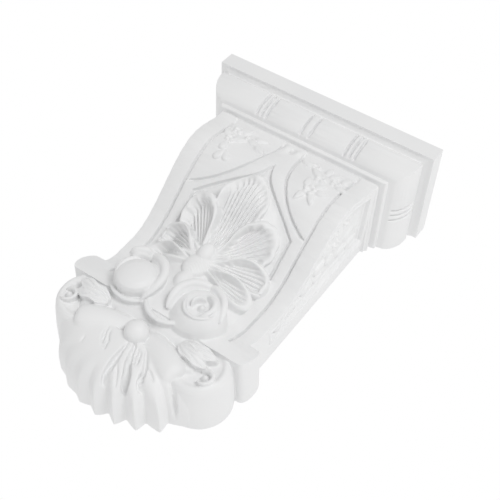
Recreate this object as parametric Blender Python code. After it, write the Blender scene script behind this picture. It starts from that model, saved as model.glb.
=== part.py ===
"""Console bracket: a cast wall corbel with a moulded cap, an S-shaped front and carved leaves.

The frame is the bracket as it hangs: +X to its right, +Z up, and the flat back on the plane y = 0
with the front towards -Y. The origin is the fixing point on the back, on the centre line.
Sizes below are in millimetres, and point() turns them into metres. A depth is the distance out
from the wall.
"""
import math

import bmesh
import bpy
from mathutils import Vector

MM = 0.001

# Cap, from the top down
CAP_TOP = 100.0
CAP_HALF_WIDTH = 80.0
CAP_DEPTH = 70.0
ABACUS_BOTTOM = 86.5
COVE_BOTTOM = 83.0
OVOLO_BOTTOM = 66.0
NECK_BOTTOM = 58.0
COVE_SETBACK = 4.8
OVOLO_SETBACK = 17.5
CAP_FRONT_RATIO = 0.66
GROOVE_WIDTH = 1.3
GROOVE_PITCH = 3.6
GROOVE_SET_X = 33.0
SIDE_GROOVE_DEPTH = 31.0

# Body: the depth of the S-shaped front at the heights where it turns
S_TURNS = [(60.0, 57.0), (30.0, 62.0), (-40.0, 24.6), (-54.0, 24.6), (-86.0, 36.5)]
BODY_TOP = 60.0
BODY_BOTTOM = -86.0
BODY_HALF_WIDTH = 56.0
EDGE_TAPER = 0.045
SIDE_FIELD_X = 52.6
BORDER_LINE_X = 44.5
BORDER_LINE_WIDTH = 1.4

# Arch band on the front, and the swelling that carries the palmette
ARCH_CORNER = (35.0, -1.5)
ARCH_POINT_RISE = 8.0
ARCH_STEM_HALF = 7.0
ARCH_STEM_Z = 46.0
ARCH_RISE = 1.5
PANEL_HALF_WIDTH = 35.0
SWELL_MARGIN = 14.0
SWELL_CREST = [(18.0, 62.2), (-30.0, 43.5), (-44.0, 40.5), (-57.0, 41.5), (-95.0, 41.0)]

# Lower end
VOLUTE_X = 40.0
VOLUTE_Z = -96.0
VOLUTE_RADIUS = 20.3
VOLUTE_DEPTH = 34.0
EAR_X = 57.0
EAR_Z = -75.0
EAR_HALF_WIDTH = 10.5
EAR_FRONT_HALF_WIDTH = 7.5
EAR_HALF_HEIGHT = 11.0
HEEL_BOTTOM = -115.3
HEEL_DEPTH = 30.7
ROSE_X = 20.5
ROSE_Z = -69.5
ROSE_RADIUS = 19.0
ROSE_BASE_DEPTH = 36.0
BOSS_DEPTH = 40.0
BOSS_Z = -102.0
BOSS_RADIUS = 7.0
LEAF_BROW_DEPTH = 38.0
LEAF_BROW_POWER = 3.4

# Lobes of the palmette: tip x, tip z, base x, base z, half width, rise of the rim
PALMETTE_LOBES = [
    (0.0, 14.0, 0.0, -32.0, 13.0, 3.0),
    (24.0, -1.0, 4.0, -35.0, 10.0, 5.0),
    (35.0, -21.0, 7.0, -37.0, 9.0, 5.0),
    (31.0, -47.0, 4.0, -42.0, 8.5, 6.0),
]

# Lobes of the big leaf: angle from straight down, tip x, tip depth, tip z
LEAF_LOBES = [
    (0.0, 0.0, 2.0, -139.5),
    (21.0, 13.2, 2.0, -137.5),
    (40.0, 25.0, 2.0, -133.5),
    (60.0, 37.5, 3.0, -127.0),
    (84.0, 46.0, 31.0, -108.0),
    (110.0, 48.0, 39.0, -93.0),
]


def point(x, depth, z):
    """A place on the bracket in metres, from millimetres and a depth out from the wall."""
    return Vector((x * MM, -depth * MM, z * MM))


def eased(z, turns):
    """A smooth curve through (height, value) turns, level at each of them."""
    turns = sorted(turns)
    if z <= turns[0][0]:
        return turns[0][1]
    for (low, a), (high, b) in zip(turns, turns[1:]):
        if z <= high:
            t = (z - low) / (high - low)
            return a + (b - a) * (1.0 - math.cos(math.pi * t)) / 2.0
    return turns[-1][1]


def front_depth(z):
    return eased(z, S_TURNS)


def half_width(z, taper, ear):
    """Half the body's width, with the ears that swell out at its foot."""
    straight = BODY_HALF_WIDTH + taper * z
    rise = 1.0 - ((z - EAR_Z) / EAR_HALF_HEIGHT) ** 2
    if rise <= 0.0:
        return straight
    return max(straight, EAR_X + ear * math.sqrt(rise))


def arch_height(x):
    """Height of the arch's inner edge at a distance from the centre line."""
    return ARCH_CORNER[1] + 0.7 * (ARCH_CORNER[0] - x) + ARCH_POINT_RISE * math.exp(-x / 3.0)


def swell_depth(x, z):
    """The front with the rounded swelling that the palmette lies on."""
    base = front_depth(z)
    crest = eased(z, SWELL_CREST)
    inside = max(0.0, min(1.0, (arch_height(abs(x)) - z) / SWELL_MARGIN))
    across = max(0.0, 1.0 - (x / PANEL_HALF_WIDTH) ** 2)
    return base + max(0.0, crest - base) * across * inside * inside * (3.0 - 2.0 * inside)


def ring_solid(name, rings, collection):
    """A closed body lofted through rings of equal count; a ring of one point closes to a tip."""
    mesh = bmesh.new()
    loops = [[mesh.verts.new(co) for co in ring] for ring in rings]
    for first, second in zip(loops, loops[1:]):
        count = max(len(first), len(second))
        for i in range(count):
            j = (i + 1) % count
            corners = [first[i % len(first)], first[j % len(first)],
                       second[j % len(second)], second[i % len(second)]]
            mesh.faces.new(dict.fromkeys(corners))
    for loop in (loops[0], loops[-1]):
        if len(loop) > 2:
            mesh.faces.new(loop)
    bmesh.ops.recalc_face_normals(mesh, faces=mesh.faces)
    data = bpy.data.meshes.new(name)
    mesh.to_mesh(data)
    mesh.free()
    obj = bpy.data.objects.new(name, data)
    obj.hide_render = True
    obj.display_type = "WIRE"
    collection.objects.link(obj)
    return obj


def mirrored(build, *values):
    """Builds a shape on the right and its twin on the left."""
    for side in (1.0, -1.0):
        build(side, *values)


def cap_projection(z):
    """How far the cap's side stands back from the abacus at a height."""
    if z >= ABACUS_BOTTOM:
        return 0.0
    if z >= OVOLO_BOTTOM:
        fall = (COVE_BOTTOM - z) / (COVE_BOTTOM - OVOLO_BOTTOM)
        quarter = 1.0 - math.sqrt(max(0.0, 1.0 - max(0.0, fall) ** 2))
        return COVE_SETBACK + (OVOLO_SETBACK - 1.5 - COVE_SETBACK) * quarter
    return OVOLO_SETBACK


def cap_ring(z, setback):
    half = CAP_HALF_WIDTH - setback
    depth = CAP_DEPTH - setback * CAP_FRONT_RATIO
    return [point(-half, 0, z), point(-half, depth, z), point(half, depth, z), point(half, 0, z)]


def build_cap(solids, cuts):
    """Abacus, cove, ovolo, bead, cavetto and lower bead, mitred round three sides."""
    levels = [(CAP_TOP, 0.0), (ABACUS_BOTTOM, 0.0), (ABACUS_BOTTOM - 0.8, COVE_SETBACK + 2.0),
              (COVE_BOTTOM + 0.8, COVE_SETBACK + 2.0)]
    steps = 6
    for i in range(steps + 1):
        z = COVE_BOTTOM - (COVE_BOTTOM - OVOLO_BOTTOM) * math.sin(math.pi / 2 * i / steps)
        levels.append((z, cap_projection(z)))
    levels += [(OVOLO_BOTTOM - 0.4, OVOLO_SETBACK + 0.6), (OVOLO_BOTTOM - 2.4, OVOLO_SETBACK + 0.6),
               (OVOLO_BOTTOM - 2.8, OVOLO_SETBACK + 4.0), (OVOLO_BOTTOM - 4.6, OVOLO_SETBACK + 5.0),
               (OVOLO_BOTTOM - 5.0, OVOLO_SETBACK + 3.0), (NECK_BOTTOM, OVOLO_SETBACK + 3.6)]
    ring_solid("cap", [cap_ring(z, setback) for z, setback in levels], solids)

    for centre, count in ((-GROOVE_SET_X, 3), (0.0, 2), (GROOVE_SET_X, 3)):
        pitch = GROOVE_PITCH * (1.7 if count == 2 else 1.0)
        for i in range(count):
            cut_front_groove(centre + (i - (count - 1) / 2.0) * pitch, cuts)
    for side in (1.0, -1.0):
        for i in range(3):
            cut_side_groove(side, SIDE_GROOVE_DEPTH + (i - 1) * 4.2, cuts)


def groove_heights():
    steps = 4
    return [COVE_BOTTOM + 0.6 - (COVE_BOTTOM - OVOLO_BOTTOM) * 0.97 * math.sin(math.pi / 2 * i / steps)
            for i in range(steps + 1)]


def cut_front_groove(x, cuts):
    half = GROOVE_WIDTH / 2
    rings = []
    for z in groove_heights():
        depth = CAP_DEPTH - cap_projection(z) * CAP_FRONT_RATIO
        rings.append([point(x - half, depth + 3, z), point(x + half, depth + 3, z),
                      point(x + half / 3, depth - 1.3, z), point(x - half / 3, depth - 1.3, z)])
    ring_solid("front_groove", rings, cuts)


def cut_side_groove(side, depth, cuts):
    half = GROOVE_WIDTH / 2
    rings = []
    for z in groove_heights():
        x = CAP_HALF_WIDTH - cap_projection(z)
        rings.append([point(side * (x + 3), depth - half, z), point(side * (x + 3), depth + half, z),
                      point(side * (x - 1.3), depth + half / 3, z),
                      point(side * (x - 1.3), depth - half / 3, z)])
    ring_solid("side_groove", rings, cuts)


def build_body(solids):
    """The S-shaped block, flat at the back."""
    heights = [BODY_TOP + (EAR_Z + EAR_HALF_HEIGHT - BODY_TOP) * i / 20 for i in range(20)]
    heights += [EAR_Z + EAR_HALF_HEIGHT * math.cos(math.pi * i / 10) for i in range(11)]
    rings = []
    for z in heights:
        front = half_width(z, EDGE_TAPER, EAR_FRONT_HALF_WIDTH)
        back = half_width(z, 0.0, EAR_HALF_WIDTH)
        depth = front_depth(z)
        rings.append([point(-back, 0, z), point(-front, depth, z),
                      point(front, depth, z), point(back, 0, z)])
    return ring_solid("body", rings, solids)


def build_heel(solids):
    """The plain block behind the leaf, between the two scroll drums."""
    rings = []
    for z in (BODY_BOTTOM + 8.0, HEEL_BOTTOM):
        rings.append([point(-VOLUTE_X, 0, z), point(-VOLUTE_X, HEEL_DEPTH, z),
                      point(VOLUTE_X, HEEL_DEPTH, z), point(VOLUTE_X, 0, z)])
    ring_solid("heel", rings, solids)


def cut_border_line(side, cuts):
    """The incised line that parts the border from the carved panel."""
    steps = 16
    top = BODY_TOP - 1.5
    bottom = -72.0
    half = BORDER_LINE_WIDTH / 2
    rings = []
    for i in range(steps + 1):
        z = top + (bottom - top) * i / steps
        x = side * (BORDER_LINE_X + 0.02 * z)
        depth = front_depth(z)
        rings.append([point(x - half, depth + 2.5, z), point(x + half, depth + 2.5, z),
                      point(x + half / 3, depth - 1.4, z), point(x - half / 3, depth - 1.4, z)])
    ring_solid("border_line", rings, cuts)


def arch_inner(t):
    """The arch's inner edge: an ogee from its corner at t = 0 to its point at t = 1."""
    x = ARCH_CORNER[0] * (1.0 - t)
    return x, arch_height(x)


def arch_outer(t):
    """The arch's outer edge: it leaves the border line and turns up beside the centre line."""
    low = 2.0
    rise = 0.6 * t ** 1.15 + 0.4 * t ** 6
    z = low + (ARCH_STEM_Z - low) * rise
    return ARCH_STEM_HALF + (BORDER_LINE_X - 3.0 - ARCH_STEM_HALF) * math.exp((low - z) / 15.0), z


def build_arch(side, solids):
    """The flat raised band of the ogee arch, its stem, and the upright strip below its corner."""
    rings = []
    for z in (-48.0, -34.0, -22.0, -11.0):
        rings.append(band_section(side, (ARCH_CORNER[0] - 1.0, z), (BORDER_LINE_X - 2.5, z)))
    steps = 12
    for i in range(steps + 1):
        t = 1.0 - (1.0 - i / steps) ** 1.5
        inner_x, inner_z = arch_inner(t)
        rings.append(band_section(side, (inner_x - 0.4, inner_z), arch_outer(t)))
    rings.append(band_section(side, (-0.4, BODY_TOP - 0.5), (ARCH_STEM_HALF, BODY_TOP - 0.5)))
    ring_solid("arch", rings, solids)


def band_section(side, inner, outer):
    """One cut across the band: a top that follows the curved front, and a buried underside."""
    section = []
    steps = 3
    for i in range(steps + 1):
        x = inner[0] + (outer[0] - inner[0]) * i / steps
        z = inner[1] + (outer[1] - inner[1]) * i / steps
        section.append(point(side * x, front_depth(z) + ARCH_RISE * (1.0 - 0.4 * i / steps), z))
    for x, z in (outer, inner):
        section.append(point(side * x, front_depth(z) - 4.0, z))
    return section


def build_swelling(solids):
    """The rounded ground under the palmette."""
    columns = 10
    rings = []
    for i in range(13):
        z = 22.0 - 77.0 * i / 12
        ring = []
        for j in range(columns + 1):
            x = PANEL_HALF_WIDTH * 0.97 * (2.0 * j / columns - 1.0)
            ring.append(point(x, swell_depth(x, z) - 0.6, z))
        ring.append(point(PANEL_HALF_WIDTH * 0.97, front_depth(z) - 4.0, z))
        ring.append(point(-PANEL_HALF_WIDTH * 0.97, front_depth(z) - 4.0, z))
        rings.append(ring)
    ring_solid("swelling", rings, solids)


def build_lobe(side, lobe, solids):
    """One cupped lobe: a raised rim round a sunk blade with a spine."""
    tip_x, tip_z, base_x, base_z, half_width, rise = lobe
    along = Vector((tip_x - base_x, tip_z - base_z))
    length = along.length
    along.normalize()
    across = Vector((-along.y, along.x))
    columns = 14
    rings = []
    for scale, lift in ((1.0, -5.0), (1.0, 0.55), (0.93, 1.0), (0.80, 0.9), (0.62, 0.25), (0.0, 0.45)):
        ring = []
        for j in range(columns if scale > 0 else 1):
            angle = 2.0 * math.pi * j / columns
            reach = (0.5 + 0.5 * scale * math.cos(angle)) * length
            fullness = math.sin(math.pi * min(1.0, reach / length) ** 1.35) ** 0.75
            width = scale * half_width * math.sin(angle) * (0.35 + 0.65 * fullness)
            x = base_x + along.x * reach + across.x * width
            z = base_z + along.y * reach + across.y * width
            opening = min(1.0, reach / length * 1.6)
            height = lift * rise * opening if lift > 0 else lift
            ring.append(point(side * x, swell_depth(x, z) + height, z))
        rings.append(ring)
    ring_solid("palmette_lobe", rings, solids)


def build_palmette(solids):
    build_lobe(1.0, PALMETTE_LOBES[0], solids)
    for lobe in PALMETTE_LOBES[1:]:
        mirrored(build_lobe, lobe, solids)
    build_blob("bud", 0.0, 43.0, -38.0, (4.5, 5.0, 6.0), solids)
    build_blob("small_leaf", 0.0, 41.0, -57.0, (6.5, 6.0, 9.5), solids)
    build_blob("cup_petal", 0.0, 38.0, -84.0, (12.0, 11.0, 11.0), solids)


def build_blob(name, x, depth, z, radii, solids, columns=12, rows=6):
    """A rounded ellipsoid."""
    rings = [[point(x, depth, z + radii[2])]]
    for i in range(1, rows):
        polar = math.pi * i / rows
        rings.append([point(x + radii[0] * math.sin(polar) * math.cos(2 * math.pi * j / columns),
                            depth + radii[1] * math.sin(polar) * math.sin(2 * math.pi * j / columns),
                            z + radii[2] * math.cos(polar)) for j in range(columns)])
    rings.append([point(x, depth, z - radii[2])])
    ring_solid(name, rings, solids)


def build_rose(side, solids):
    """A cabbage rose: three rings of petals, each higher and tighter, round a heart."""
    tiers = [(16.0, -16.0), (18.6, 1.0), (19.0, 6.5), (17.4, 8.4), (15.2, 6.4), (13.2, 5.4),
             (12.4, 9.5), (10.2, 13.0), (7.6, 14.6), (6.4, 13.2), (4.2, 15.2), (0.0, 15.0)]
    columns = 16
    rings = []
    for k, (radius, height) in enumerate(tiers):
        ring = []
        for j in range(columns if radius > 0 else 1):
            angle = 2.0 * math.pi * j / columns
            petals = 1.0 + 0.07 * math.cos(3 * angle + 1.3 * (k // 3)) * (1 if height > 0 else 0)
            r = radius * petals * ROSE_RADIUS / 19.0
            ring.append(point(side * (ROSE_X + r * math.cos(angle) * 0.98),
                              ROSE_BASE_DEPTH + height - 2.0 * math.sin(angle) * radius / 19.0,
                              ROSE_Z + r * math.sin(angle)))
        rings.append(ring)
    ring_solid("rose", rings, solids)


def leaf_tip(angle):
    """Tip place for an angle round the boss, between the lobes' own tips."""
    lobes = LEAF_LOBES
    size = abs(angle)
    for (a, ax, ad, az), (b, bx, bd, bz) in zip(lobes, lobes[1:]):
        if size <= b:
            t = (size - a) / (b - a)
            notch = math.sin(math.pi * t) ** 1.2
            x = ax + (bx - ax) * t
            z = az + (bz - az) * t
            shrink = 1.0 - 0.10 * notch
            return x * shrink, ad + (bd - ad) * t, BOSS_Z + (z - BOSS_Z) * shrink, notch
    return lobes[-1][1], lobes[-1][2], lobes[-1][3], 0.0


def build_leaf(solids):
    """The acanthus leaf that fans out round the boss and folds down to the wall."""
    lobes = [lobe[0] for lobe in LEAF_LOBES]
    angles = []
    for a, b in zip(lobes, lobes[1:]):
        angles += [a, a + (b - a) * 0.3, a + (b - a) * 0.5, a + (b - a) * 0.7]
    angles.append(lobes[-1])
    angles = [-angle for angle in reversed(angles[1:])] + angles
    rows = 6
    rings = [[point(0, LEAF_BROW_DEPTH, BOSS_Z)]]
    for i in range(1, rows + 1):
        ring = []
        for angle in angles:
            x, depth, z, notch = leaf_tip(angle)
            turn = math.pi / 2 * i / rows
            spread = math.sin(turn) ** (2.0 / LEAF_BROW_POWER)
            rise = max(0.0, math.cos(turn)) ** (2.0 / LEAF_BROW_POWER)
            brow = LEAF_BROW_DEPTH * rise + depth * (1.0 - rise)
            fold = -4.2 * notch * math.sin(math.pi * min(1.0, 0.15 + 0.75 * i / rows))
            lean = 1.0 - 0.08 * notch * spread
            sign = 1.0 if angle >= 0 else -1.0
            ring.append(point(sign * x * spread * lean, max(1.5, brow + fold),
                              BOSS_Z + (z - BOSS_Z) * spread * lean))
        rings.append(ring)
    rings.append([point(place.x / MM, 0, place.z / MM) for place in rings[-1]])
    ring_solid("big_leaf", rings, solids)


def build_volute(side, solids):
    """The drum of the scroll beside the leaf, with the eye on its face."""
    columns = 26
    rings = []
    for depth, radius in ((0.0, 20.3), (14.0, 20.0), (26.0, 19.0), (32.0, 18.0), (34.0, 16.4),
                          (33.4, 14.6), (32.2, 13.2)):
        size = radius / 20.3 * VOLUTE_RADIUS
        rings.append([point(side * (VOLUTE_X + size * math.cos(2 * math.pi * i / columns)),
                            depth / 34.0 * VOLUTE_DEPTH,
                            VOLUTE_Z + size * math.sin(2 * math.pi * i / columns))
                      for i in range(columns)])
    ring_solid("volute", rings, solids)
    build_blob("volute_eye", side * 48.0, VOLUTE_DEPTH - 1.0, -100.0, (4.4, 2.8, 4.4), solids)


def cut_side_panel(side, cuts):
    """The sunk triangular field on each side, inside its raised frame."""
    outline = [(12.0, 54.0), (front_depth(54.0) - 6.0, 54.0)]
    for z in (44.0, 34.0, 24.0, 14.0, 4.0, -6.0, -18.0, -30.0, -44.0):
        outline.append((front_depth(z) - 6.5, z))
    outline += [(15.0, -46.0), (12.0, -30.0)]
    rings = []
    for x in (SIDE_FIELD_X, 70.0):
        rings.append([point(side * x, depth, z) for depth, z in outline])
    ring_solid("side_panel", rings, cuts)


def build_blossom(place, normal_side, radius, solids):
    """A five-petalled blossom on the front (normal_side 0) or on a side (1 or -1)."""
    u, v = place
    columns = 20
    rings = []
    for scale, lift in ((1.0, -2.5), (1.0, 1.5), (0.3, 0.6), (0.0, 2.2)):
        ring = []
        for j in range(columns if scale > 0 else 1):
            angle = 2.0 * math.pi * j / columns
            r = radius * scale * (0.72 + 0.28 * abs(math.cos(2.5 * angle)))
            a = u + r * math.cos(angle)
            z = v + r * math.sin(angle)
            if normal_side == 0:
                ring.append(point(a, front_depth(z) + lift, z))
            else:
                ring.append(point(normal_side * (SIDE_FIELD_X + lift), a, z))
        rings.append(ring)
    ring_solid("blossom", rings, solids)


def build_sprig(place, turn, length, width, normal_side, solids):
    """A small pointed leaf; it lies like the blossoms."""
    u, v = place
    rings = []
    columns = 8
    for scale, lift in ((1.0, -2.5), (1.0, 0.3), (0.55, 1.6)):
        ring = []
        for j in range(columns):
            angle = 2.0 * math.pi * j / columns
            a = length / 2 * scale * math.cos(angle)
            b = width / 2 * scale * math.sin(angle) * (1.0 - 0.5 * math.cos(angle))
            x = u + a * math.cos(turn) - b * math.sin(turn)
            z = v + a * math.sin(turn) + b * math.cos(turn)
            if normal_side == 0:
                ring.append(point(x, front_depth(z) + lift, z))
            else:
                ring.append(point(normal_side * (SIDE_FIELD_X + lift), x, z))
        rings.append(ring)
    ring_solid("sprig", rings, solids)


def build_spandrel(side, solids):
    """Blossoms and leaves above the arch."""
    build_blossom((side * 30.5, 27.5), 0, 4.2, solids)
    build_blossom((side * 27.0, 46.0), 0, 4.6, solids)
    for x, z, degrees, length in ((36.5, 39.0, 60.0, 11.0), (20.0, 37.5, -50.0, 11.0),
                                  (14.5, 48.5, 20.0, 9.0), (37.0, 51.5, 10.0, 9.0),
                                  (37.0, 22.0, -70.0, 7.0)):
        turn = math.radians(degrees if side > 0 else 180.0 - degrees)
        build_sprig((side * x, z), turn, length, 5.0, 0, solids)


def build_side_spray(side, solids):
    """The spray of blossoms, ribbon and stem in the side panel."""
    build_blossom((40.0, 44.0), side, 5.0, solids)
    build_blossom((43.0, 29.0), side, 4.6, solids)
    for depth, z, degrees, length in ((27.0, 45.0, 20.0, 11.0), (31.0, 32.0, 70.0, 12.0),
                                      (20.0, 34.0, 110.0, 10.0), (35.0, 18.0, 40.0, 10.0),
                                      (26.0, 16.0, 130.0, 10.0), (26.0, 2.0, 80.0, 14.0),
                                      (20.5, -16.0, 95.0, 14.0), (17.0, -32.0, 92.0, 12.0)):
        build_sprig((depth, z), math.radians(degrees), length, 4.6, side, solids)


def cast_material():
    """White cast finish."""
    material = bpy.data.materials.new("white_cast")
    material.use_nodes = True
    shader = material.node_tree.nodes["Principled BSDF"]
    shader.inputs["Base Color"].default_value = (0.86, 0.86, 0.86, 1.0)
    shader.inputs["Roughness"].default_value = 0.6
    shader.inputs["Metallic"].default_value = 0.0
    return material


def join_casting(body, solids, sinkings, cuts, parts):
    """One casting: the side fields sunk, the carved forms united, then the incised lines cut.

    The forms overlap by the dozen, and the manifold solver keeps such a union closed.
    """
    solids.objects.unlink(body)
    parts.objects.link(body)
    body.name = "console_bracket"
    body.hide_render = False
    body.display_type = "TEXTURED"
    body.data.materials.append(cast_material())
    for name, operation, operands in (("side_fields", "DIFFERENCE", sinkings),
                                      ("carving", "UNION", solids), ("lines", "DIFFERENCE", cuts)):
        boolean = body.modifiers.new(name, "BOOLEAN")
        boolean.operation = operation
        boolean.operand_type = "COLLECTION"
        boolean.collection = operands
        boolean.solver = "MANIFOLD"
    return body


def build_bracket():
    for obj in list(bpy.data.objects):
        bpy.data.objects.remove(obj, do_unlink=True)
    scene = bpy.context.scene
    parts = bpy.data.collections.new("console_bracket")
    solids = bpy.data.collections.new("carved_forms")
    cuts = bpy.data.collections.new("line_cutters")
    sinkings = bpy.data.collections.new("field_cutters")
    for collection in (parts, solids, cuts, sinkings):
        scene.collection.children.link(collection)
    body = build_body(solids)
    build_heel(solids)
    build_cap(solids, cuts)
    build_swelling(solids)
    build_palmette(solids)
    mirrored(cut_border_line, cuts)
    mirrored(build_arch, solids)
    mirrored(build_rose, solids)
    build_blob("boss", 0.0, BOSS_DEPTH, BOSS_Z, (BOSS_RADIUS, BOSS_RADIUS, BOSS_RADIUS), solids)
    build_leaf(solids)
    mirrored(build_volute, solids)
    mirrored(cut_side_panel, sinkings)
    mirrored(build_spandrel, solids)
    mirrored(build_side_spray, solids)
    join_casting(body, solids, sinkings, cuts, parts)


build_bracket()
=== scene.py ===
import math

import bmesh
import bpy
import numpy as np
from mathutils import Matrix, Vector


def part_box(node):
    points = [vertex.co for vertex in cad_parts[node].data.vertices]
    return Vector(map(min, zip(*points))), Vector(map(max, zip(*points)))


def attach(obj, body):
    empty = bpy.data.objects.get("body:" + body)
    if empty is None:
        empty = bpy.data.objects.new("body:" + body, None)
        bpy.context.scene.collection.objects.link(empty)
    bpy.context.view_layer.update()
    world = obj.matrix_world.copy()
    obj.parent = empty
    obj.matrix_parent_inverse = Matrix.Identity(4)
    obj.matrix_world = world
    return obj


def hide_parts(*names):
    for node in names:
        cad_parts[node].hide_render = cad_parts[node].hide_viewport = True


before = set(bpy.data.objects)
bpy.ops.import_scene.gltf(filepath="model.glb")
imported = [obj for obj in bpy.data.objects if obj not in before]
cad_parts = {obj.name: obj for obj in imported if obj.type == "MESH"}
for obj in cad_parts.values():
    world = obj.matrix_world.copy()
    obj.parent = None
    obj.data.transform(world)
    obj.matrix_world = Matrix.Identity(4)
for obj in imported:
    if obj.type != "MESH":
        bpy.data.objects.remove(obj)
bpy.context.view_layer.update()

# The cap: an abacus slab, a dark cove, a big ovolo with sets of incised lines, and two thin
# beads with a cavetto between them. It is run as one moulding and mitred round three sides,
# in white cast foam; every form below is in the same cast and ends up in one piece.
low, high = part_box("console_bracket")
MM = (high.x - low.x) / 160.0
CAP_TOP = high.z / MM
CAP_HALF_WIDTH = high.x / MM
CAP_DEPTH = -low.y / MM
ABACUS_BOTTOM = 88.2
COVE_BOTTOM = 83.8
OVOLO_BOTTOM = 66.0
NECK_BOTTOM = 58.0
COVE_SETBACK = 4.8
COVE_DROP = 3.0
OVOLO_SETBACK = 17.5
UPPER_BEAD_HALF = 1.5
CAVETTO_TOP = 3.0
CAVETTO_HEIGHT = 2.4
LOWER_BEAD_TOP = 5.3
LOWER_BEAD_MIDDLE = 6.6
LOWER_BEAD_HALF = 1.4
CAP_FRONT_RATIO = 0.66
GROOVE_HALF_WIDTH = 0.85
GROOVE_DROP = 3.0
GROOVE_PITCH = 3.6
GROOVE_SET_X = 33.0
SIDE_GROOVE_DEPTH = 31.0
SIDE_GROOVE_PITCH = 4.2
FINE = 0.4

forms = []


def smooth(value, start, end):
    """Nought before start, one after end, and an easy turn between them."""
    t = np.clip((value - start) / (end - start), 0.0, 1.0)
    return t * t * (3.0 - 2.0 * t)


def lofted(name, rings):
    """A closed form through rings of places (x, depth, z) in millimetres, flat at both ends."""
    count, around = rings.shape[:2]
    places = rings.reshape(-1, 3)
    corners = np.column_stack((places[:, 0], -places[:, 1], places[:, 2])) * MM
    index = np.arange(count * around).reshape(count, around)
    after = np.roll(index, -1, axis=1)
    faces = np.stack((index[:-1], after[:-1], after[1:], index[1:]), axis=-1)
    faces = faces.reshape(-1, 4).tolist()
    faces.append(index[0][::-1].tolist())
    faces.append(index[-1].tolist())
    data = bpy.data.meshes.new(name)
    data.from_pydata(corners.tolist(), [], faces)
    data.validate()
    form = bpy.data.objects.new(name, data)
    bpy.context.scene.collection.objects.link(form)
    forms.append(form)
    return form


def cap_setbacks(z):
    """How far the moulding stands back from the abacus at each height."""
    fall = np.clip((COVE_BOTTOM - z) / (COVE_BOTTOM - OVOLO_BOTTOM), 0.0, 1.0)
    ovolo = COVE_SETBACK + (OVOLO_SETBACK - 1.5 - COVE_SETBACK) * (1.0 - np.sqrt(1.0 - fall ** 2))
    sunk = np.clip((ABACUS_BOTTOM - z) / (ABACUS_BOTTOM - COVE_BOTTOM), 0.0, 1.0)
    cove = COVE_SETBACK * (0.7 + 0.3 * sunk) + COVE_DROP * np.sin(sunk * math.pi)
    setback = np.where(z > ABACUS_BOTTOM, 0.0, np.where(z > COVE_BOTTOM + 0.2, cove, ovolo))
    below = OVOLO_BOTTOM - z
    upper = np.clip(1.0 - ((below - UPPER_BEAD_HALF) / UPPER_BEAD_HALF) ** 2, 0.0, 1.0)
    upper_bead = OVOLO_SETBACK + 1.2 - 1.2 * np.sqrt(upper)
    sweep = np.clip((below - CAVETTO_TOP) / CAVETTO_HEIGHT, 0.0, 1.0)
    cavetto = OVOLO_SETBACK + 3.2 + 2.2 * np.sin(math.pi * sweep)
    lower = np.clip(1.0 - ((below - LOWER_BEAD_MIDDLE) / LOWER_BEAD_HALF) ** 2, 0.0, 1.0)
    lower_bead = OVOLO_SETBACK + 4.4 - 1.4 * np.sqrt(lower)
    setback = np.where(below > 0.0, upper_bead, setback)
    setback = np.where(below > CAVETTO_TOP, cavetto, setback)
    return np.where(below > LOWER_BEAD_TOP, lower_bead, setback)


def groove(offset):
    """A round-bottomed incised line: one at its middle, nought beyond its width."""
    return np.sqrt(np.clip(1.0 - (offset / GROOVE_HALF_WIDTH) ** 2, 0.0, 1.0))


def cap_rings():
    """Rings of the cap from its neck to its top, each round the three sides that show."""
    heights = np.arange(CAP_TOP, NECK_BOTTOM - 2.0, -FINE)
    edges = [NECK_BOTTOM - 2.0, ABACUS_BOTTOM + 0.01, ABACUS_BOTTOM]
    heights = np.unique(np.concatenate((heights, edges)))
    z = heights[::-1][:, None]
    setback = cap_setbacks(z)
    line_span = smooth(z, OVOLO_BOTTOM + 0.3, OVOLO_BOTTOM + 2.5)
    line_span = line_span * smooth(z, COVE_BOTTOM + 0.6, COVE_BOTTOM - 1.2)
    along = np.linspace(-1.0, 1.0, int(160 / FINE * 0.8))[None, :]
    out = np.linspace(0.0, 1.0, int(70 / FINE * 0.8))[None, :-1]
    half = CAP_HALF_WIDTH - setback
    depth = CAP_DEPTH - setback * CAP_FRONT_RATIO
    front_x = half * along
    cut = np.zeros_like(front_x)
    for centre, count in ((-GROOVE_SET_X, 3), (0.0, 2), (GROOVE_SET_X, 3)):
        pitch = GROOVE_PITCH * (1.7 if count == 2 else 1.0)
        for i in range(count):
            cut = np.maximum(cut, groove(front_x - centre - (i - (count - 1) / 2.0) * pitch))
    front = np.stack((front_x, depth - GROOVE_DROP * cut * line_span, z + 0.0 * front_x), axis=-1)
    side_depth = depth * out
    side_cut = np.zeros_like(side_depth)
    for i in range(3):
        offset = side_depth - SIDE_GROOVE_DEPTH - (i - 1) * SIDE_GROOVE_PITCH
        side_cut = np.maximum(side_cut, groove(offset))
    side_x = half - GROOVE_DROP * side_cut * line_span
    right = np.stack((side_x, side_depth, z + 0.0 * side_x), axis=-1)
    left = right * np.array([-1.0, 1.0, 1.0])
    return np.concatenate((left, front, right[:, ::-1]), axis=1)


lofted("cap", cap_rings())

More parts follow.
